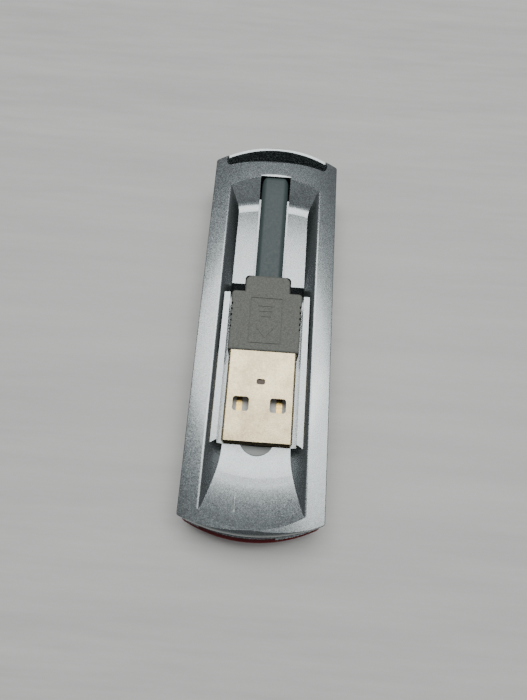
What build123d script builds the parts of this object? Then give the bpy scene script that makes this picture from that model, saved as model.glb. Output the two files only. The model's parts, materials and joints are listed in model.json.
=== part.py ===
"""USB flash drive with a captive plug stowed in a pocket along its back.

Units are millimetres. +X is across the drive, +Y runs along it towards the end where the
cable leaves the housing, and +Z is the outward normal of the back face. The origin is the
centre of the footprint on the flat face of the translucent cover.
"""
import os
from math import cos, radians, sin, sqrt, tan

from build123d import *

os.makedirs("parts", exist_ok=True)

# Housing envelope
WIDTH = 24.0
CORNER_Y = 33.9
BULGE = 3.05
LOW_BULGE = 2.55
HEIGHT = 11.0
CROWN_R = 90.0
PARTING_Z = 6.4
LIP_H = 0.6
PLAN_CORNER_R = 0.5
END_SETBACK = 0.15
END_ROUND = 1.1
TOP_EDGE_R = 0.15
WALL = 1.2
COVER_WALL = 1.3
COVER_INSET = 0.2
COVER_BULGE = 0.4
SEAT_GAP = 0.15

# Recess in the back face
SLOPE_OFFSET = 2.1
CREST_R = 0.9
PANEL_Z = 8.8
STRIP_Z = 9.9
POCKET_HALF = 6.75
POCKET_Z = 5.2
POCKET_FRONT = -21.7
POCKET_BACK = 8.0
STRIP_BACK = 5.7
STRIP_FRONT = -21.8
RECESS_APEX = 30.25
RECESS_END_R = 32.9
RECESS_BENDS = ((5.0, 22.0),)
TONGUE_Z = 7.95
TONGUE_APEX = -35.2
TONGUE_BENDS = ((20.0, 13.0), (55.0, 21.0))
CHANNEL_HALF = 2.9
NECK_NOTCH_HALF = 4.3
NECK_NOTCH_END = 9.8
SLOT_NEAR = 26.9
SLOT_FAR = 30.35
SLOT_HALF = 2.9
DIMPLE_R = 6.4
DIMPLE_DEPTH = 0.8
DIMPLE_Y = -20.3
GRIP_NEAR = 34.2
GRIP_FAR = 36.38
RIM_LEAN = 9.0

# Plug: standard USB type A shell
SHELL_W = 12.0
SHELL_H = 4.5
SHEET = 0.3
SHELL_FRONT = -21.3
SHELL_LEN = 18.75
PLUG_Z = 7.95
SHELL_CORNER_R = 0.45
WINDOW_X = 3.2
WINDOW_W = 2.8
WINDOW_L = 2.5
WINDOW_SETBACK = 5.1
CONTACT_X = (-3.5, -1.0, 1.0, 3.5)
CONTACT_W = 1.0
CONTACT_T = 0.2
PLATFORM_T = 1.85

# Overmould
MOULD_FRONT = -5.4
MOULD_SHOULDER = 5.95
MOULD_END = 9.1
MOULD_BOTTOM = 5.4
MOULD_TOP = 10.5
MOULD_HALF_FRONT = 6.3
MOULD_HALF_BACK = 6.45
NECK_HALF = 4.1

# Cable
CABLE_W = 5.1
CABLE_T = 2.6
CABLE_R = 1.0
FOLD_Y = SLOT_FAR
FOLD_Z = HEIGHT + 0.1
ROOT_Y = FOLD_Y - 1.5
FLEX_Y = 13.0
FLEX_Z = 8.31
LEAD_END_Y = 27.1
LEAD_SLOPE = 5.2
WIRE_R = 0.35
WIRE_X = (-1.65, -0.55, 0.55, 1.65)

# Circuit board
BOARD_BOTTOM = 2.9
BOARD_T = 0.8
BOARD_W = 20.2
BOARD_Y0 = -30.5
BOARD_Y1 = 31.0
BOSS_R = 1.7
BOSS_BORE_R = 0.62
BOSS_AT = ((-8.3, -27.0), (8.3, -27.0), (-8.3, 20.0), (8.3, 20.0))


def block(x0, x1, y0, y1, z0, z1):
    """Axis-aligned box between two corners."""
    centre = Pos((x0 + x1) / 2, (y0 + y1) / 2, (z0 + z1) / 2)
    return centre * Box(x1 - x0, y1 - y0, z1 - z0)


def prism(sketch, z0, z1):
    """Plan sketch extruded between two heights."""
    return Pos(0, 0, z0) * extrude(sketch, z1 - z0)


def plan(side_inset=0.0, apex_high=0.0, apex_low=0.0, corner_r=PLAN_CORNER_R, low_bulge=BULGE):
    """Plan outline: straight sides and shallow arc ends, moved in or out from the lip."""
    half = WIDTH / 2 - side_inset
    high = CORNER_Y - apex_high
    low = -CORNER_Y + apex_low
    face = make_face([
        Line((half, low), (half, high)),
        ThreePointArc((half, high), (0, high + BULGE), (-half, high)),
        Line((-half, high), (-half, low)),
        ThreePointArc((-half, low), (0, low - low_bulge), (half, low)),
    ])
    return fillet(face.vertices(), corner_r)


def side_profile(*edges):
    """Closed profile in the YZ plane (local x is Y, local y is Z), extruded right across."""
    face = Plane.YZ * make_face(list(edges))
    return extrude(face, WIDTH, both=True)


def rounded_bar(width, height, radius, y0, y1, z):
    """Bar along Y with a rounded rectangular section centred at height z."""
    section = Plane((0, y0, z), x_dir=(1, 0, 0), z_dir=(0, 1, 0)) * RectangleRounded(width, height, radius)
    return extrude(section, y1 - y0)


def arc_radius(half_chord, rise):
    return (half_chord ** 2 + rise ** 2) / (2 * rise)


def round_ring(apex_y, radius, round_r, inward=True):
    """Ring segment that rounds a curved top edge; the material lies inside or outside the arc."""
    sign = 1 if inward else -1
    towards = 1 if apex_y > 0 else -1
    x0 = radius - sign * round_r
    z0 = HEIGHT - round_r
    mid_x = x0 + sign * round_r * cos(radians(45))
    mid_z = z0 + round_r * sin(radians(45))
    far_x = radius + sign * min(1.0, 2 * round_r)
    top = HEIGHT + 0.1
    face = Plane.XZ * make_face([
        Line((x0 - sign * 0.02, top), (x0, HEIGHT)),
        ThreePointArc((x0, HEIGHT), (mid_x, mid_z), (radius, z0)),
        Line((radius, z0), (far_x, z0 - 0.02)),
        Line((far_x, z0 - 0.02), (far_x, top)),
        Line((far_x, top), (x0 - sign * 0.02, top)),
    ])
    ring = Pos(0, apex_y - towards * radius, 0) * revolve(face, Axis.Z, 360)
    y0, y1 = sorted((towards * 29, towards * 45))
    return ring & block(-14, 14, y0, y1, 0, 20)


def outer_block():
    """Lip and crowned upper body before anything is cut away."""
    lip = prism(plan(), PARTING_Z, PARTING_Z + LIP_H)
    notch = block(-8.5, 4.3, -40, -35, PARTING_Z - 1, PARTING_Z + LIP_H + 1)
    notch = notch - prism(plan(apex_low=0.25), 0, 20)
    outline = plan(side_inset=0.04, apex_high=0.06, apex_low=END_SETBACK, low_bulge=LOW_BULGE)
    upper = prism(outline, PARTING_Z + LIP_H - 0.2, HEIGHT + 2)
    crown = Pos(0, 0, HEIGHT - CROWN_R) * Rot(90, 0, 0) * Cylinder(CROWN_R, 100)
    upper = upper & crown
    rim = upper.edges().filter_by(lambda e: e.center().Z > HEIGHT - 1.2 and e.bounding_box().size.Z < 1)
    upper = fillet(rim, TOP_EDGE_R)
    low_apex = -CORNER_Y + END_SETBACK - LOW_BULGE
    upper = upper - round_ring(low_apex, arc_radius(WIDTH / 2, LOW_BULGE), END_ROUND)
    return (lip - notch) + upper


def bowl(centre_y, floor_z, rim_r, bends):
    """Round space above a flat floor. Each bend is (radius, slope it ends at); a ramp meets the rim."""
    slopes = [0.0] + [radians(slope) for radius, slope in bends]
    spans = list(zip((radius for radius, slope in bends), slopes, slopes[1:]))
    width = sum(radius * (sin(b) - sin(a)) for radius, a, b in spans)
    rise = sum(radius * (cos(a) - cos(b)) for radius, a, b in spans)
    last = slopes[-1]
    r = rim_r - width - (HEIGHT - floor_z - rise) / tan(last)
    z = floor_z
    edges = [Line((0, z), (r, z))]
    for radius, a, b in spans:
        centre = (r - radius * sin(a), z + radius * cos(a))
        middle = (centre[0] + radius * sin((a + b) / 2), centre[1] - radius * cos((a + b) / 2))
        end = (centre[0] + radius * sin(b), centre[1] - radius * cos(b))
        edges.append(ThreePointArc((r, z), middle, end))
        r, z = end
    over = (rim_r + 2, HEIGHT + 2 * tan(last))
    edges.append(Line((r, z), over))
    edges.append(Line(over, (over[0], 20)))
    edges.append(Line((over[0], 20), (0, 20)))
    edges.append(Line((0, 20), (0, floor_z)))
    return Pos(0, centre_y, 0) * revolve(Plane.XZ * make_face(edges), Axis.Z, 360)


def recess_tool():
    """Volume of the long recess: 45 degree sides, softly rounded crests, shaped floor."""
    low = 4.0
    arc_z = HEIGHT - CREST_R - 0.44
    arc_x = arc_z - SLOPE_OFFSET + CREST_R * sqrt(2)
    start = (arc_x - CREST_R * sin(radians(45)), arc_z + CREST_R * cos(radians(45)))
    mid = (arc_x - CREST_R * sin(radians(22)), arc_z + CREST_R * cos(radians(22)))
    end = (arc_x + CREST_R * sin(radians(2)), arc_z + CREST_R * cos(radians(2)))
    top = HEIGHT + 2
    half = make_face([
        Line((0, low), (low - SLOPE_OFFSET, low)),
        Line((low - SLOPE_OFFSET, low), start),
        ThreePointArc(start, mid, end),
        Line(end, (end[0], top)),
        Line((end[0], top), (0, top)),
        Line((0, top), (0, low)),
    ])
    half = extrude(Plane.XZ * half, 45, both=True)
    trough = half + mirror(half, about=Plane.YZ)

    tongue_r = arc_radius(WIDTH / 2, LOW_BULGE)
    front = bowl(TONGUE_APEX + tongue_r, TONGUE_Z, tongue_r, TONGUE_BENDS)
    back = bowl(RECESS_APEX - RECESS_END_R, PANEL_Z, RECESS_END_R, RECESS_BENDS)
    floor = (front & block(-15, 15, -45, 1, 0, 20)) + (back & block(-15, 15, 0, 45, 0, 20))
    return trough & floor


def crescent_tool():
    """Arc-shaped grip recess that follows the end of the housing."""
    near = ThreePointArc((-9.7, 32.5), (0, GRIP_NEAR), (9.7, 32.5))
    far = ThreePointArc((10.05, 34.3), (0, GRIP_FAR), (-10.05, 34.3))
    face = make_face([near, Line(near @ 1, far @ 0), far, Line(far @ 1, near @ 0)])
    face = fillet(face.vertices(), 0.6)
    return prism(face, HEIGHT - 3.0, HEIGHT + 2)


def rim_slant_tool():
    """Thin slice off the rim beyond the grip recess, so that its top leans inwards."""
    radius = arc_radius(10.05, GRIP_FAR - 34.3)
    inside = Pos(0, GRIP_FAR - radius, 10) * Cylinder(radius - 0.02, 20)
    zone = block(-9.6, 9.6, 33, 40, HEIGHT - 2, HEIGHT + 2) - inside
    apex = CORNER_Y - 0.06 + BULGE
    crown = Pos(0, 0, -CROWN_R) * Rot(90, 0, 0) * Cylinder(CROWN_R, 20)
    leaning = Pos(0, apex - TOP_EDGE_R, HEIGHT) * Rot(RIM_LEAN, 0, 0) * crown
    return zone - leaning


def strips():
    """Narrow ledges on both sides of the plug."""
    outer = STRIP_Z - SLOPE_OFFSET + 0.4
    right = block(POCKET_HALF - 0.5, outer, STRIP_FRONT - 0.2, STRIP_BACK, TONGUE_Z - 0.2, STRIP_Z)
    wedge = Pos(POCKET_HALF, STRIP_FRONT + 0.6, STRIP_Z) * Rot(0, 0, -32) * block(-4, 4, -2, 0, -2, 2)
    right = right - wedge
    return right + mirror(right, about=Plane.YZ)


def channel_tool():
    """Cable channel with a floor that rises towards the slot."""
    slope = tan(radians(LEAD_SLOPE))
    z_at_flex = FLEX_Z - CABLE_T / 2 - 0.35
    z0 = z_at_flex + (POCKET_BACK - 1 - FLEX_Y) * slope
    z1 = z_at_flex + (SLOT_NEAR + 0.5 - FLEX_Y) * slope
    side = side_profile(
        Line((POCKET_BACK - 1, z0), (SLOT_NEAR + 0.5, z1)),
        Line((SLOT_NEAR + 0.5, z1), (SLOT_NEAR + 0.5, 12)),
        Line((SLOT_NEAR + 0.5, 12), (POCKET_BACK - 1, 12)),
        Line((POCKET_BACK - 1, 12), (POCKET_BACK - 1, z0)),
    )
    return side & block(-CHANNEL_HALF, CHANNEL_HALF, 0, 40, 0, 20)


def neck_notch_tool():
    """Clearance round the neck of the overmould."""
    face = Pos(0, (POCKET_BACK + NECK_NOTCH_END) / 2 - 0.5) * Rectangle(
        2 * NECK_NOTCH_HALF, NECK_NOTCH_END - POCKET_BACK + 1)
    corners = face.vertices().group_by(Axis.Y)[-1]
    return prism(fillet(corners, 0.8), POCKET_Z, HEIGHT)


def hollows():
    """Space left inside the back shell around the pocket tub, the channel and the ends."""
    bottom = PARTING_Z - 3
    side_in = 8.0
    side_out = WIDTH / 2 - 0.1 - WALL
    tools = []
    for s in (-1, 1):
        x0, x1 = sorted((s * side_in, s * side_out))
        tools.append(block(x0, x1, -30.0, 31.4, bottom, 9.0))
        x0, x1 = sorted((s * 4.3, s * side_out))
        tools.append(block(x0, x1, 11.1, 31.4, bottom, PANEL_Z - WALL))
    tools.append(block(-side_out, side_out, -33.0, -23.8, bottom, 7.0))
    tools.append(block(-side_out, side_out, 31.4, 32.9, bottom, 6.9))
    return tools


def make_back_shell():
    body = outer_block()
    tub = block(-7.95, 7.95, POCKET_FRONT - 2.0, POCKET_BACK + 3.1, POCKET_Z - 1.0, PARTING_Z + 1)
    spine = block(-4.3, 4.3, POCKET_BACK + 2, 31.6, 5.2, PARTING_Z + 1)
    body = body + tub + spine
    skirt = prism(plan(COVER_WALL + COVER_INSET + SEAT_GAP, 1.0, 1.0), PARTING_Z - 0.8, PARTING_Z + 0.3)
    skirt = skirt - prism(plan(COVER_WALL + COVER_INSET + SEAT_GAP + 0.7, 1.7, 1.7), 0, 20)
    body = body + skirt
    for tool in hollows():
        body = body - tool
    for x, y in BOSS_AT:
        body = body + Pos(x, y, (BOARD_BOTTOM + BOARD_T + 8.2) / 2) * Cylinder(
            BOSS_R, 8.2 - BOARD_BOTTOM - BOARD_T)
        body = body - Pos(x, y, 5.2) * Cylinder(BOSS_BORE_R, 3.1)
    body = body - recess_tool()
    body = body + strips()
    body = body - block(-POCKET_HALF, POCKET_HALF, POCKET_FRONT, POCKET_BACK, POCKET_Z, 20)
    body = body - neck_notch_tool()
    body = body - channel_tool()
    body = body - block(-SLOT_HALF, SLOT_HALF, SLOT_NEAR, SLOT_FAR, 0, 20)
    body = body - Pos(0, SLOT_FAR + 0.4, HEIGHT) * Rot(10, 0, 0) * block(-SLOT_HALF, SLOT_HALF, -1.2, 0, 0, 1)
    body = body - block(-4.6, 4.6, 25.6, 31.4, 3, 6.2)
    body = body - Pos(0, DIMPLE_Y, TONGUE_Z + DIMPLE_R - DIMPLE_DEPTH) * Sphere(DIMPLE_R)
    body = body - crescent_tool()
    near_edge = round_ring(GRIP_NEAR, arc_radius(9.7, GRIP_NEAR - 32.5), 0.7)
    body = body - (near_edge & block(-9.2, 9.4, 30, 40, 0, 20))
    rim_edge = round_ring(GRIP_FAR, arc_radius(10.05, GRIP_FAR - 34.3), 0.1, False)
    body = body - (rim_edge & block(-9.4, 9.6, 30, 40, 0, 20))
    return body - rim_slant_tool()


def make_front_cover():
    outline = plan(COVER_INSET, -COVER_BULGE, -COVER_BULGE, 1.6)
    body = prism(outline, 0, PARTING_Z)
    body = fillet(body.faces().sort_by(Axis.Z)[0].edges(), 2.2)
    body = fillet(body.faces().sort_by(Axis.Z)[-1].edges(), 0.25)
    inner = prism(plan(COVER_INSET + COVER_WALL, 0.8, 0.8, 1.0), WALL, PARTING_Z + 1)
    inner = fillet(inner.faces().sort_by(Axis.Z)[0].edges(), 0.6)
    return body - inner


def make_board():
    outline = Pos(0, (BOARD_Y0 + BOARD_Y1) / 2) * RectangleRounded(BOARD_W, BOARD_Y1 - BOARD_Y0, 2.5)
    board = prism(outline, BOARD_BOTTOM, BOARD_BOTTOM + BOARD_T)
    for x, y in BOSS_AT:
        board = board - Pos(x, y, BOARD_BOTTOM) * Cylinder(0.85, 4)
    return board


def chip(cx, cy, size_x, size_y, height, pitch, per_side, lead_sides):
    """Surface-mount package under the board, with gull-wing leads on the chosen sides."""
    top = BOARD_BOTTOM - 0.1
    body = block(cx - size_x / 2, cx + size_x / 2, cy - size_y / 2, cy + size_y / 2, top - height, top)
    body = chamfer(body.faces().sort_by(Axis.Z)[0].edges(), 0.12)
    reach = 0.8
    for i in range(per_side):
        offset = (i - (per_side - 1) / 2) * pitch
        for side in lead_sides:
            if side in ("-x", "+x"):
                s = -1 if side == "-x" else 1
                x0, x1 = sorted((cx + s * (size_x / 2 - 0.1), cx + s * (size_x / 2 + reach)))
                lead = (x0, x1, cy + offset - 0.11, cy + offset + 0.11)
            else:
                s = -1 if side == "-y" else 1
                y0, y1 = sorted((cy + s * (size_y / 2 - 0.1), cy + s * (size_y / 2 + reach)))
                lead = (cx + offset - 0.11, cx + offset + 0.11, y0, y1)
            body = body + block(*lead, top - 0.1, BOARD_BOTTOM)
    return body


def small_parts(places, length, width, height, above):
    """Identical two-ended parts lying on the board, one solid each."""
    solids = []
    for x, y in places:
        if above:
            z0 = BOARD_BOTTOM + BOARD_T
        else:
            z0 = BOARD_BOTTOM - height
        part = block(x - length / 2, x + length / 2, y - width / 2, y + width / 2, z0, z0 + height)
        solids.append(chamfer(part.edges().filter_by(Axis.Y), 0.06))
    return Compound(children=solids)


def make_crystal():
    can = Pos(5.5, 6.5) * RectangleRounded(3.2, 5.0, 0.7)
    return prism(can, BOARD_BOTTOM - 1.0, BOARD_BOTTOM)


def make_led():
    base = block(-0.9, 0.9, -29.3, -28.3, BOARD_BOTTOM - 0.35, BOARD_BOTTOM)
    lens = block(-0.6, 0.6, -29.2, -28.4, BOARD_BOTTOM - 0.8, BOARD_BOTTOM - 0.3)
    return base + lens


def make_screws():
    solids = []
    for x, y in BOSS_AT:
        head = Pos(x, y, BOARD_BOTTOM - 0.4) * Cylinder(1.25, 0.8)
        head = fillet(head.edges().sort_by(Axis.Z)[0], 0.25)
        shank = Pos(x, y, BOARD_BOTTOM + 1.6) * Cylinder(BOSS_BORE_R - 0.02, 3.2)
        drive = block(x - 0.8, x + 0.8, y - 0.15, y + 0.15, 0, BOARD_BOTTOM - 0.5)
        cross = block(x - 0.15, x + 0.15, y - 0.8, y + 0.8, 0, BOARD_BOTTOM - 0.5)
        solids.append(head + shank - drive - cross)
    return Compound(children=solids)


def make_grommet():
    body = block(-4.4, 4.4, 25.8, 31.2, 4.6, 6.15)
    body = fillet(body.edges().filter_by(Axis.Z), 0.8)
    hole = Pos(0, ROOT_Y) * RectangleRounded(CABLE_W, CABLE_T, CABLE_R)
    return body - prism(hole, 0, 10)


def make_root():
    section = Pos(0, ROOT_Y) * RectangleRounded(CABLE_W - 0.02, CABLE_T - 0.02, CABLE_R)
    return prism(section, 5.6, FOLD_Z - 0.6)


def make_wire(x):
    """Insulated core from the cable end down to its pad on the board."""
    pad_z = BOARD_BOTTOM + BOARD_T + WIRE_R
    bend = 0.9
    route = FilletPolyline((x, ROOT_Y, 5.6), (x, ROOT_Y, pad_z), (x, 24.2, pad_z), radius=bend)
    start = Plane((x, ROOT_Y, 5.6), x_dir=(1, 0, 0), z_dir=(0, 0, -1))
    return sweep(start * Circle(WIRE_R), path=route)


def make_solder():
    solids = []
    for x in WIRE_X:
        dome = Pos(x, 23.7, BOARD_BOTTOM + BOARD_T) * Sphere(0.5)
        dome = dome & block(-5, 5, 20, 24.2, BOARD_BOTTOM + BOARD_T, 8)
        solids.append(dome)
    return Compound(children=solids)


def cable_bar(length):
    """Length of cable along the lead's slope, centred on the flex pivot and running both ways."""
    section = RectangleRounded(CABLE_W, CABLE_T, CABLE_R)
    slope = radians(LEAD_SLOPE)
    along = Plane((0, FLEX_Y, FLEX_Z), x_dir=(1, 0, 0), z_dir=(0, cos(slope), sin(slope)))
    return extrude(along * section, length, both=True)


def make_lead():
    bar = cable_bar(16) & block(-5, 5, FLEX_Y, LEAD_END_Y, 0, 20)
    flat = CABLE_W - 2 * CABLE_R
    nose = Pos(0, FLEX_Y + 0.01, FLEX_Z) * Rot(0, 90, 0) * Cylinder(CABLE_T / 2 - 0.05, flat)
    return bar + nose


def make_tail():
    return cable_bar(6) & block(-5, 5, MOULD_END, FLEX_Y - 1.55, 0, 20)


def make_overmould():
    inner = MOULD_SHOULDER
    face = make_face(Polyline(
        (-MOULD_HALF_FRONT, MOULD_FRONT), (MOULD_HALF_FRONT, MOULD_FRONT),
        (MOULD_HALF_BACK, inner), (NECK_HALF, inner), (NECK_HALF, MOULD_END),
        (-NECK_HALF, MOULD_END), (-NECK_HALF, inner), (-MOULD_HALF_BACK, inner), close=True))
    tips = face.vertices().group_by(Axis.Y)
    face = fillet(list(tips[-1]), 1.2)
    outer = face.vertices().filter_by(lambda v: abs(v.Y - inner) < 0.01 and abs(v.X) > 5)
    face = fillet(outer, 0.7)
    body = prism(face, MOULD_BOTTOM, MOULD_TOP)
    body = fillet(body.faces().sort_by(Axis.Z)[-1].edges(), 0.35)
    body = fillet(body.faces().sort_by(Axis.Z)[0].edges(), 0.3)
    for i in range(5):
        y = 3.3 - 1.1 * i
        for s in (-1, 1):
            x0, x1 = sorted((s * (MOULD_HALF_BACK - 0.4), s * (MOULD_HALF_BACK + 1)))
            body = body - block(x0, x1, y - 0.22, y + 0.22, MOULD_BOTTOM - 1, MOULD_TOP + 1)
    frame = Pos(0, 0.3) * RectangleRounded(5.9, 8.8, 0.3)
    frame = frame - Pos(0, 0.3) * RectangleRounded(5.5, 8.4, 0.15)
    body = body - prism(frame, MOULD_TOP - 0.12, MOULD_TOP + 1)
    body = body + mould_mark()
    body = body - rounded_bar(SHELL_W, SHELL_H, SHELL_CORNER_R, MOULD_FRONT - 1, SHELL_FRONT + SHELL_LEN,
                              PLUG_Z)
    body = body - block(-5.2, 5.2, SHELL_FRONT + SHELL_LEN - 0.1, 3.6, PLUG_Z - 1.7, PLUG_Z + 1.7)
    return body


def mould_mark():
    """Plain raised insertion mark: three bars and a chevron that points at the metal shell."""
    top = MOULD_TOP + 0.1
    mark = None
    for i, half in enumerate((1.5, 1.2, 0.9)):
        y = 3.2 - 1.0 * i
        bar = block(-half, half, y - 0.16, y + 0.16, MOULD_TOP - 0.3, top)
        mark = bar if mark is None else mark + bar
    chevron = make_face(Polyline((-1.5, -0.6), (0, -2.4), (1.5, -0.6), (1.5, -1.15), (0, -2.95),
                                 (-1.5, -1.15), close=True))
    return mark + prism(chevron, MOULD_TOP - 0.3, top)


def make_inner_mould():
    return block(-5.2, 5.2, SHELL_FRONT + SHELL_LEN, 3.6, PLUG_Z - 1.7, PLUG_Z + 1.7)


def make_shell():
    back = SHELL_FRONT + SHELL_LEN
    body = rounded_bar(SHELL_W, SHELL_H, SHELL_CORNER_R, SHELL_FRONT, back, PLUG_Z)
    body = body - rounded_bar(SHELL_W - 2 * SHEET, SHELL_H - 2 * SHEET, SHELL_CORNER_R - SHEET,
                              SHELL_FRONT - 1, back + 1, PLUG_Z)
    y0 = SHELL_FRONT + WINDOW_SETBACK
    for s in (-1, 1):
        cx = s * WINDOW_X
        hole = Pos(cx, y0 + WINDOW_L / 2) * RectangleRounded(WINDOW_W, WINDOW_L, 0.5)
        body = body - prism(hole, PLUG_Z - 5, PLUG_Z + 5)
    slot = Pos(0, SHELL_FRONT + 10.4) * RectangleRounded(1.5, 1.0, 0.35)
    return body - prism(slot, PLUG_Z, PLUG_Z + 5)


def make_insulator():
    half = SHELL_W / 2 - SHEET - 0.03
    z0 = PLUG_Z - SHELL_H / 2 + SHEET
    z1 = PLUG_Z + SHELL_H / 2 - SHEET
    step = SHELL_FRONT + 9.2
    platform = block(-half, half, SHELL_FRONT + 0.4, step + 0.5, z0, z0 + PLATFORM_T)
    body = platform + block(-half, half, step, SHELL_FRONT + SHELL_LEN, z0, z1)
    keep = rounded_bar(2 * half, SHELL_H - 2 * SHEET, SHELL_CORNER_R - SHEET, SHELL_FRONT,
                       SHELL_FRONT + SHELL_LEN, PLUG_Z)
    body = body & keep
    for x in CONTACT_X:
        body = body - contact_bar(x, 0.02)
    return body


def contact_bar(x, grow):
    """Flat contact lying in the platform; the two outer ones start nearer the mouth."""
    if abs(x) > 2:
        front = SHELL_FRONT + 1.2
    else:
        front = SHELL_FRONT + 2.2
    top = PLUG_Z - SHELL_H / 2 + SHEET + PLATFORM_T + 0.06
    half = CONTACT_W / 2 + grow
    return block(x - half, x + half, front - grow, SHELL_FRONT + SHELL_LEN, top - CONTACT_T - grow, top + grow)


def save(shape, name):
    shape.label = name
    export_step(shape, f"parts/{name}.step")


capacitor_at = ((-6.5, 13.0), (-6.5, 15.0), (6.5, 13.0), (6.5, 15.0), (-5.5, -26.5), (5.5, -26.5))
resistor_at = ((-3.6, -28.8), (3.6, -28.8), (-6.5, 17.0), (6.5, 17.0), (6.8, 24.5), (-6.8, 24.5))

save(make_back_shell(), "back_shell")
save(make_front_cover(), "front_cover")
save(make_board(), "circuit_board")
save(chip(0, -11, 12.0, 18.4, 1.0, 0.5, 16, ("-y", "+y")), "memory_chip")
save(chip(-2.5, 9, 7.0, 7.0, 1.0, 0.5, 12, ("-x", "+x", "-y", "+y")), "controller_chip")
save(make_crystal(), "crystal")
save(make_led(), "status_led")
save(chip(4.5, 17.0, 1.6, 2.9, 0.95, 0.95, 3, ("-x", "+x")), "voltage_regulator")
save(small_parts(capacitor_at, 1.6, 0.8, 0.8, True), "capacitors")
save(small_parts(resistor_at, 1.6, 0.8, 0.45, True), "resistors")
save(make_screws(), "board_screws")
save(make_grommet(), "cable_grommet")
save(make_root(), "cable_root")
save(make_solder(), "solder_joints")
for wire_x, wire_name in zip(WIRE_X, ("power", "data_minus", "data_plus", "ground")):
    save(make_wire(wire_x), f"wire_{wire_name}")
save(make_lead(), "cable_lead")
save(make_tail(), "cable_tail")
save(make_overmould(), "plug_overmould")
save(make_inner_mould(), "plug_inner_mould")
save(make_shell(), "plug_shell")
save(make_insulator(), "plug_insulator")
for contact_x, contact_name in zip(CONTACT_X, ("power", "data_minus", "data_plus", "ground")):
    save(contact_bar(contact_x, 0.0), f"contact_{contact_name}")
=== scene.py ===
"""Looks of the USB flash drive: camera, materials, the continuous flat cable, floor and lamps."""
import json
from math import cos, pi, radians, sin, tan

import bmesh
import bpy
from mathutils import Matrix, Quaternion, Vector


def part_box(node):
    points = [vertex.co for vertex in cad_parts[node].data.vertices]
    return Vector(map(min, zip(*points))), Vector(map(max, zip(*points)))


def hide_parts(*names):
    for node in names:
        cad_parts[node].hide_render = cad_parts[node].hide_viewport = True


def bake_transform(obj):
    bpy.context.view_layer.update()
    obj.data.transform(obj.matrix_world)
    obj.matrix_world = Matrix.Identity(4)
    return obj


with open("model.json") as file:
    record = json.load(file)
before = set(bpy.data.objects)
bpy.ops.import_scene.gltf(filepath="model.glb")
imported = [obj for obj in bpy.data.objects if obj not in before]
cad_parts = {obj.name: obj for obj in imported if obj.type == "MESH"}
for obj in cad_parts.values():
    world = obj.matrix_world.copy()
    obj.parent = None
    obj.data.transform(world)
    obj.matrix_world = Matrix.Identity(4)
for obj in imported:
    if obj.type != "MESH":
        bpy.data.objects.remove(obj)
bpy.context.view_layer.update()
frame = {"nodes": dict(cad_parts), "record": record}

scene = bpy.context.scene
MM = 0.001

# Camera at the photograph's viewing angle, in metres and degrees
CAMERA_PLACE = (0.00048, -0.03328, 0.09828)
CAMERA_TURN = (17.70, -1.01, 4.04)
SENSOR_W = 36.0
LENS = 26.96

camera_data = bpy.data.cameras.new("camera")
camera_data.sensor_width = SENSOR_W
camera_data.lens = LENS
camera_data.clip_start = 0.005
camera_data.clip_end = 10.0
camera = bpy.data.objects.new("camera", camera_data)
camera.location = CAMERA_PLACE
camera.rotation_euler = [radians(angle) for angle in CAMERA_TURN]
scene.collection.objects.link(camera)
scene.camera = camera

# Places on the surfaces that look different, as ranges along x, y and z in millimetres
SCRATCH = ((-2.86, -2.79), (-32.5, -29.7), (8.5, 12))
SCRATCH_FOOT = ((-2.94, -2.72), (-32.7, -32.4), (8.5, 12))
# The dimple, where the silver paint is made rougher and its colour lightened as painted light
DIMPLE = ((-3.0, 3.0), (-23.7, -17.0), (7.0, 7.92))
# Dirt under the small hole in the plug's metal, whose middle is HOLE_BACK behind the plug's front
HOLE_BACK = 10.4
HOLE_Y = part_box("plug_shell")[0][1] / MM + HOLE_BACK
HOLE_DIRT = ((-1.0, 1.0), (HOLE_Y - 0.75, HOLE_Y + 0.75))


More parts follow.
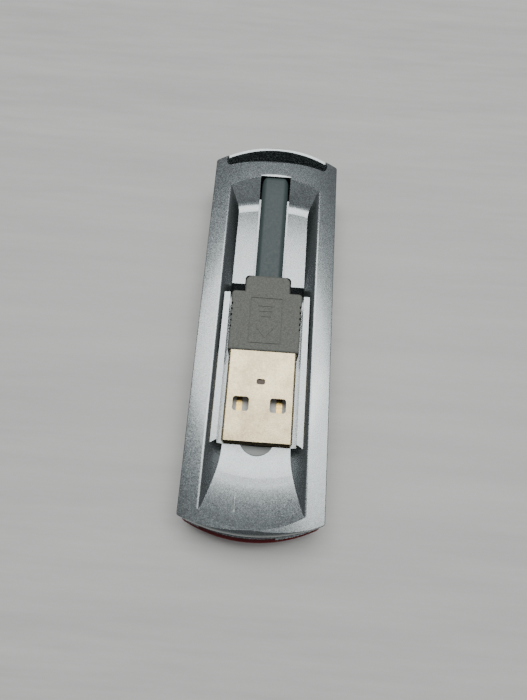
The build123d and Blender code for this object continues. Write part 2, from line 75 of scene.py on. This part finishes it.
class Shader:
    """One material with its principled shader and short ways to add nodes."""

    def __init__(self, name, color=(0.5, 0.5, 0.5), metallic=0.0, roughness=0.5, **sockets):
        self.material = bpy.data.materials.new(name)
        self.material.use_nodes = True
        self.tree = self.material.node_tree
        self.bsdf = self.tree.nodes["Principled BSDF"]
        self.bsdf.inputs["Base Color"].default_value = (*color, 1.0)
        self.bsdf.inputs["Metallic"].default_value = metallic
        self.bsdf.inputs["Roughness"].default_value = roughness
        for key, value in sockets.items():
            self.bsdf.inputs[key.replace("_", " ")].default_value = value
        self.coords = self.node("ShaderNodeTexCoord").outputs["Object"]

    def node(self, kind, inputs=None, **settings):
        made = self.tree.nodes.new(kind)
        for key, value in settings.items():
            setattr(made, key, value)
        for key, value in (inputs or {}).items():
            if isinstance(value, bpy.types.NodeSocket):
                self.tree.links.new(value, made.inputs[key])
            else:
                made.inputs[key].default_value = value
        return made

    def set(self, key, socket):
        self.tree.links.new(socket, self.bsdf.inputs[key])

    def math(self, operation, a, b=0.0, clamp=False):
        return self.node("ShaderNodeMath", {0: a, 1: b}, operation=operation, use_clamp=clamp).outputs[0]

    def stretched(self, scale):
        return self.node("ShaderNodeMapping", {"Vector": self.coords, "Scale": scale}).outputs[0]

    def noise(self, scale, detail=3.0, rough=0.5, vector=None):
        inputs = {"Vector": vector or self.coords, "Scale": scale, "Detail": detail, "Roughness": rough}
        return self.node("ShaderNodeTexNoise", inputs).outputs[0]

    def cells(self, scale):
        return self.node("ShaderNodeTexVoronoi", {"Vector": self.coords, "Scale": scale})

    def spread(self, value, low, high, start=0.3, end=0.7):
        """Value between start and end mapped onto low to high."""
        inputs = {"Value": value, "From Min": start, "From Max": end, "To Min": low, "To Max": high}
        return self.node("ShaderNodeMapRange", inputs).outputs[0]

    def blend(self, factor, a, b):
        made = self.node("ShaderNodeMix", data_type="RGBA")
        self.tree.links.new(factor, made.inputs[0])
        for index, value in ((6, a), (7, b)):
            if isinstance(value, bpy.types.NodeSocket):
                self.tree.links.new(value, made.inputs[index])
            else:
                made.inputs[index].default_value = (*value, 1.0)
        return made.outputs[2]

    def bump(self, height, distance, strength):
        inputs = {"Height": height, "Distance": distance, "Strength": strength}
        return self.node("ShaderNodeBump", inputs).outputs[0]

    def vector_math(self, operation, a, b=None):
        inputs = {0: a}
        if b is not None:
            inputs["Scale" if operation == "SCALE" else 1] = b
        return self.node("ShaderNodeVectorMath", inputs, operation=operation).outputs[0]

    def within(self, axis, low, high, soft=0.00003):
        """1 where the coordinate along the axis lies between low and high, in millimetres."""
        value = self.node("ShaderNodeSeparateXYZ", {0: self.coords}).outputs[axis]
        rise = self.spread(value, 0.0, 1.0, low * MM - soft, low * MM + soft)
        fall = self.spread(value, 1.0, 0.0, high * MM - soft, high * MM + soft)
        return self.math("MULTIPLY", rise, fall, True)

    def inside(self, ranges):
        """1 inside the ranges along x, y and, where there is a third, z."""
        result = self.within(0, *ranges[0])
        for axis, limits in enumerate(ranges[1:], 1):
            result = self.math("MULTIPLY", result, self.within(axis, *limits))
        return result


def silver_paint():
    """Metallic paint: tilted flakes, faint hairs, soiled patches, one scratch, and a rougher dimple whose
    lighter colour is painted light.
    """
    flake_dark = (0.108, 0.122, 0.124)
    flake_light = (0.178, 0.203, 0.206)
    soil = (0.20, 0.21, 0.21)
    # Lighter colour for the dimple: painted light, standing in for the light the dimple catches
    dimple_painted_light = (0.50, 0.53, 0.51)
    scraped = (0.75, 0.75, 0.75)
    shader = Shader("silver_paint", metallic=0.92, roughness=0.3,
                    Coat_Weight=1.0, Coat_Roughness=0.12, Coat_IOR=1.7)
    flake = shader.cells(7500).outputs["Color"]
    grey = shader.node("ShaderNodeSeparateColor", {0: flake}).outputs[0]
    flakes = shader.blend(shader.spread(grey, 0, 1, 0, 1), flake_dark, flake_light)
    soiled = shader.blend(shader.spread(shader.noise(160, 4), 0.0, 0.10, 0.55, 0.8), flakes, soil)
    dimple = shader.inside(DIMPLE)
    # The dimple gets the lighter colour, painted light; its raised roughness is set below
    painted = shader.blend(dimple, soiled, dimple_painted_light)
    hair = shader.noise(900, 2, 0.6, shader.stretched((14, 1, 1)))
    hair = shader.spread(hair, 0.0, 0.06, 0.7, 0.76)
    scratch = shader.math("MAXIMUM", shader.inside(SCRATCH), shader.inside(SCRATCH_FOOT))
    worn = shader.math("ADD", shader.math("MULTIPLY", scratch, 0.4), hair, True)
    shader.set("Base Color", shader.blend(worn, painted, scraped))
    rough = shader.spread(shader.noise(420, 3), 0.22, 0.25)
    rough = shader.math("ADD", rough, shader.math("MULTIPLY", grey, 0.05))
    shader.set("Roughness", shader.math("ADD", rough, shader.math("MULTIPLY", dimple, 0.4)))
    tilt = shader.vector_math("SCALE", shader.vector_math("SUBTRACT", flake, (0.5, 0.5, 0.5)), 0.035)
    skin = shader.bump(shader.noise(3400, 2), 0.0000018, 0.6)
    shader.set("Normal", shader.vector_math("NORMALIZE", shader.vector_math("ADD", skin, tilt)))
    return shader.material


def red_cover():
    """Translucent gloss plastic: a dyed surface mixed with a clear red one, with faint hair scratches."""
    deep = (0.085, 0.002, 0.004)
    bright = (0.125, 0.004, 0.008)
    clearness = 0.42
    shader = Shader("red_translucent", (0.16, 0.004, 0.008), 0.0, 0.09, Coat_Weight=0.4, Coat_Roughness=0.04)
    shader.set("Base Color", shader.blend(shader.spread(shader.noise(60, 2), 0, 1), deep, bright))
    shader.set("Roughness", shader.spread(shader.noise(240, 4), 0.07, 0.16))
    hair = shader.noise(700, 2, 0.6, shader.stretched((1, 12, 1)))
    hair = shader.math("MULTIPLY", shader.spread(hair, 0, 1, 0.62, 0.75), 0.2)
    shader.set("Normal", shader.bump(shader.math("ADD", shader.noise(90, 3), hair), 0.00002, 0.35))
    clear = shader.node("ShaderNodeBsdfTransparent", {"Color": (0.75, 0.03, 0.05, 1)})
    inputs = {0: clearness, 1: shader.bsdf.outputs[0], 2: clear.outputs[0]}
    mix = shader.node("ShaderNodeMixShader", inputs)
    shader.tree.links.new(mix.outputs[0], shader.tree.nodes["Material Output"].inputs[0])
    return shader.material


def moulded(name, dark, light, roughness, grain=5200, depth=0.00001, speckle=0.35, **sockets):
    """Moulded plastic or rubber: fine grain, faint mottling, slightly uneven gloss."""
    shader = Shader(name, dark, 0.0, roughness, **sockets)
    base = shader.blend(shader.spread(shader.noise(4600, 3), 0, 1), dark, light)
    dust = shader.spread(shader.noise(6000, 1), 0, speckle, 0.6, 0.8)
    dusty = [min(1, channel * 1.5 + 0.05) for channel in light]
    shader.set("Base Color", shader.blend(dust, base, dusty))
    shader.set("Roughness", shader.spread(shader.noise(2400, 3), roughness - 0.04, roughness + 0.06))
    shader.set("Normal", shader.bump(shader.noise(grain, 2), depth, 0.8))
    return shader.material


def plated(name, dark, light, roughness, stipple=6500, depth=0.000006, streak=(1, 1, 1)):
    """Plated sheet metal with a fine stipple, faint streaks and handling wear."""
    shader = Shader(name, light, 1.0, roughness)
    wear = shader.spread(shader.noise(260, 5, 0.6, shader.stretched(streak)), 0, 1, 0.35, 0.7)
    shader.set("Base Color", shader.blend(wear, dark, light))
    shader.set("Roughness", shader.spread(shader.noise(3000, 3), roughness - 0.05, roughness + 0.06))
    waves = shader.math("MULTIPLY", shader.noise(2600, 2), 0.2)
    dents = shader.math("ADD", shader.noise(stipple, 2), waves)
    shader.set("Normal", shader.bump(dents, depth, 0.8))
    return shader.material


def insulator_grey():
    """Pale moulding inside the plug, with brown dirt under the small hole in the metal."""
    dark = (0.60, 0.60, 0.56)
    light = (0.70, 0.70, 0.66)
    brown = (0.085, 0.055, 0.035)
    shader = Shader("insulator_grey", (0.65, 0.65, 0.61), 0.0, 0.5)
    base = shader.blend(shader.spread(shader.noise(4600, 3), 0, 1), dark, light)
    shader.set("Base Color", shader.blend(shader.inside(HOLE_DIRT), base, brown))
    shader.set("Roughness", shader.spread(shader.noise(2400, 3), 0.46, 0.56))
    shader.set("Normal", shader.bump(shader.noise(5200, 2), 0.00001, 0.8))
    return shader.material


def board_mask():
    """Green solder mask over raised copper lanes."""
    shader = Shader("board_mask", (0.02, 0.13, 0.05), 0.0, 0.35)
    lanes = shader.node("ShaderNodeTexBrick", {
        "Vector": shader.coords, "Scale": 420.0, "Mortar Size": 0.06,
        "Color1": (0.02, 0.12, 0.05, 1), "Color2": (0.025, 0.15, 0.06, 1), "Mortar": (0.05, 0.25, 0.10, 1),
    })
    cloud = shader.spread(shader.noise(300, 3), 0, 0.5)
    shader.set("Base Color", shader.blend(cloud, lanes.outputs[0], (0.03, 0.16, 0.07)))
    shader.set("Roughness", shader.spread(shader.noise(800, 2), 0.28, 0.42))
    shader.set("Normal", shader.bump(lanes.outputs[1], 0.00003, 0.4))
    return shader.material


def floor_material():
    """Pale table with faint streaks along it."""
    dark = (0.52, 0.53, 0.505)
    light = (0.66, 0.665, 0.635)
    shader = Shader("pale_floor", (0.6, 0.6, 0.58), 0.0, 0.5)
    grain = shader.spread(shader.noise(9, 6, 0.6, shader.stretched((1.2, 16, 1))), 0, 0.6)
    fine = shader.noise(60, 4, 0.6, shader.stretched((1, 10, 1)))
    streaks = shader.math("ADD", grain, shader.math("MULTIPLY", shader.spread(fine, 0, 1), 0.4), True)
    shader.set("Base Color", shader.blend(streaks, dark, light))
    shader.set("Roughness", shader.spread(fine, 0.42, 0.6))
    shader.set("Normal", shader.bump(fine, 0.00004, 0.25))
    return shader.material


JACKET_DARK = (0.045, 0.066, 0.066)
JACKET_LIGHT = (0.060, 0.083, 0.082)
materials = {
    "silver_paint": silver_paint(),
    "red_translucent": red_cover(),
    "board_mask": board_mask(),
    "chip_epoxy": moulded("chip_epoxy", (0.02, 0.02, 0.021), (0.035, 0.035, 0.036), 0.6),
    "crystal_can": plated("crystal_can", (0.5, 0.5, 0.48), (0.68, 0.68, 0.66), 0.3),
    "led_resin": moulded("led_resin", (0.75, 0.5, 0.42), (0.85, 0.62, 0.52), 0.2),
    "capacitor_ceramic": moulded("capacitor_ceramic", (0.42, 0.30, 0.18), (0.5, 0.38, 0.24), 0.55),
    "resistor_film": moulded("resistor_film", (0.03, 0.03, 0.035), (0.05, 0.05, 0.055), 0.45),
    "screw_steel": plated("screw_steel", (0.42, 0.42, 0.41), (0.58, 0.58, 0.56), 0.32),
    "grommet_rubber": moulded("grommet_rubber", (0.03, 0.03, 0.032), (0.05, 0.05, 0.052), 0.7),
    "cable_jacket": moulded("cable_jacket", JACKET_DARK, JACKET_LIGHT, 0.45,
                            grain=3800, depth=0.000006, speckle=0.12, Specular_IOR_Level=0.3),
    "solder": plated("solder", (0.5, 0.5, 0.48), (0.66, 0.66, 0.64), 0.28),
    "wire_red": moulded("wire_red", (0.38, 0.02, 0.015), (0.5, 0.03, 0.02), 0.4),
    "wire_white": moulded("wire_white", (0.62, 0.62, 0.6), (0.72, 0.72, 0.7), 0.4),
    "wire_green": moulded("wire_green", (0.02, 0.22, 0.06), (0.03, 0.3, 0.08), 0.4),
    "wire_black": moulded("wire_black", (0.015, 0.015, 0.015), (0.03, 0.03, 0.03), 0.4),
    "overmould_grey": moulded("overmould_grey", (0.085, 0.09, 0.078), (0.165, 0.172, 0.15), 0.6,
                              depth=0.00006, speckle=0.15),
    "inner_mould": moulded("inner_mould", (0.6, 0.6, 0.57), (0.7, 0.7, 0.67), 0.5),
    "plug_nickel": plated("plug_nickel", (0.29, 0.245, 0.152), (0.43, 0.366, 0.231), 0.28,
                          stipple=5500, depth=0.000014),
    "insulator_grey": insulator_grey(),
    "contact_gold": plated("contact_gold", (0.40, 0.27, 0.08), (0.55, 0.39, 0.14), 0.3, streak=(1, 9, 1)),
}

slot_of = {part["node"]: part["material_slot"] for part in frame["record"]["subparts"]}
for name, node in frame["nodes"].items():
    node.data.materials.clear()
    node.data.materials.append(materials[slot_of[name]])

# The continuous flat cable, in millimetres: it rises from the slot, bends over and slopes down to the plug.
# Its two stretches meet on the rigid lead.
CABLE_W = 5.1
CABLE_T = 2.6
CABLE_R = 1.0
ROOT_Y = 29.02
ROOT_LOW = 5.7
FLEX_Y = 13.0
FLEX_Z = 8.31
SLOPE = radians(5.2)
BEND_R = 1.35
OUTER_CORNER = 0.7
SPLIT_Y = 20.0
TAIL_Y = 8.9
CORNER_STEPS = 7
ROOT_STEPS = 8
BEND_STEPS = 26
LEAD_STEPS = 30
TAIL_STEPS = 44


def lead_z(y):
    """Height of the cable's centreline along its straight stretch."""
    return FLEX_Z + (y - FLEX_Y) * tan(SLOPE)


def rounded_section(width, height, radius):
    """Points of a rounded rectangle, anticlockwise, as (across, up)."""
    points = []
    for side_x, side_y, first in ((1, 1, 0), (-1, 1, 90), (-1, -1, 180), (1, -1, 270)):
        centre_x = side_x * (width / 2 - radius)
        centre_y = side_y * (height / 2 - radius)
        for i in range(CORNER_STEPS + 1):
            angle = radians(first + 90 * i / CORNER_STEPS)
            points.append((centre_x + radius * cos(angle), centre_y + radius * sin(angle)))
    return points


def bulge(angle, turn):
    """How far the outer side stands out at an angle of the bend, so that its corner stays tight."""
    side = BEND_R + CABLE_T / 2
    flat = side - OUTER_CORNER
    square = angle * (pi / 2) / turn
    if sin(square) * side <= flat * cos(square):
        reach = side / cos(square)
    elif cos(square) * side <= flat * sin(square):
        reach = side / sin(square)
    else:
        along = flat * (cos(square) + sin(square))
        reach = along + (along ** 2 - 2 * flat ** 2 + OUTER_CORNER ** 2) ** 0.5
    return (reach - BEND_R) / (CABLE_T / 2)


def bent_path():
    """Centreline from the root up, round the bend and along the lead, as (y, z, heading, bulge)."""
    turn = pi / 2 + SLOPE
    centre_y = ROOT_Y - BEND_R
    centre_z = lead_z(ROOT_Y) - BEND_R * tan(turn / 2)
    stations = []
    for i in range(ROOT_STEPS):
        stations.append((ROOT_Y, ROOT_LOW + (centre_z - ROOT_LOW) * i / ROOT_STEPS, pi / 2, 1.0))
    for i in range(BEND_STEPS + 1):
        angle = turn * i / BEND_STEPS
        y = centre_y + BEND_R * cos(angle)
        z = centre_z + BEND_R * sin(angle)
        stations.append((y, z, pi / 2 + angle, bulge(angle, turn)))
    return stations + straight_path(stations[-1][0], SPLIT_Y, LEAD_STEPS)[1:]


def straight_path(start_y, end_y, count):
    """Centreline along the straight stretch between two places, as (y, z, heading, bulge)."""
    places = [start_y + (end_y - start_y) * i / count for i in range(count + 1)]
    return [(y, lead_z(y), pi + SLOPE, 1.0) for y in places]


def loft(name, stations, section, cap_start, cap_end):
    """Mesh swept through the stations; each section stands square to the path."""
    mesh = bmesh.new()
    rings = []
    for y, z, heading, outward in stations:
        ring = []
        for across, up in section:
            # up is measured to the right of the heading, the side that faces out of the recess
            out = up * outward if up > 0 else up
            place = (across, y + out * sin(heading), z - out * cos(heading))
            ring.append(mesh.verts.new([value * MM for value in place]))
        rings.append(ring)
    for ring, following in zip(rings, rings[1:]):
        for i in range(len(section)):
            mesh.faces.new((ring[i - 1], ring[i], following[i], following[i - 1]))
    if cap_start:
        mesh.faces.new(list(reversed(rings[0])))
    if cap_end:
        mesh.faces.new(rings[-1])
    bmesh.ops.recalc_face_normals(mesh, faces=mesh.faces)
    for face in mesh.faces:
        face.smooth = len(face.verts) == 4
    data = bpy.data.meshes.new(name)
    mesh.to_mesh(data)
    mesh.free()
    made = bpy.data.objects.new(name, data)
    scene.collection.objects.link(made)
    made.data.materials.append(materials["cable_jacket"])
    return made


flat_section = rounded_section(CABLE_W, CABLE_T, CABLE_R)
cable_upper = loft("cable_upper", bent_path(), flat_section, cap_start=True, cap_end=False)
lower_path = straight_path(SPLIT_Y, TAIL_Y, TAIL_STEPS)
cable_lower = loft("cable_lower", lower_path, flat_section, cap_start=False, cap_end=True)
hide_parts("cable_root", "cable_lead")
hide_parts("cable_tail")
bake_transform(cable_upper)
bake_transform(cable_lower)

# Floor, a hair below the cover's flat face
FLOOR_SIZE = 3.0
FLOOR_DROP = 0.00002
bpy.ops.mesh.primitive_plane_add(size=FLOOR_SIZE, location=(0, 0, -FLOOR_DROP))
floor = bpy.context.object
floor.name = "floor"
floor.data.materials.append(floor_material())

# Lamps and surroundings
LAMP_DISTANCE = 1.5
SURROUND_COLOR = (0.93, 0.96, 1.0, 1)
SURROUND_STRENGTH = 0.26


def softbox(name, direction, size, watts, turn=0.0):
    """Elliptical lamp that faces the origin from a direction, turned in its own plane."""
    data = bpy.data.lights.new(name, "AREA")
    data.shape = "ELLIPSE"
    data.size, data.size_y = size
    data.energy = watts
    lamp = bpy.data.objects.new(name, data)
    way = Vector(direction).normalized()
    lamp.location = way * LAMP_DISTANCE
    lamp.rotation_mode = "QUATERNION"
    lamp.rotation_quaternion = way.to_track_quat("Z", "Y") @ Quaternion((0, 0, 1), turn)
    scene.collection.objects.link(lamp)


softbox("key", (-0.026, 0.315, 1.0), size=(1.21, 0.74), watts=15.3, turn=radians(-6))
softbox("side", (0.364, 0.12, 1.0), size=(0.475, 0.53), watts=3.4)
world = bpy.data.worlds.new("world")
scene.world = world
world.use_nodes = True
background = world.node_tree.nodes["Background"]
background.inputs["Color"].default_value = SURROUND_COLOR
background.inputs["Strength"].default_value = SURROUND_STRENGTH
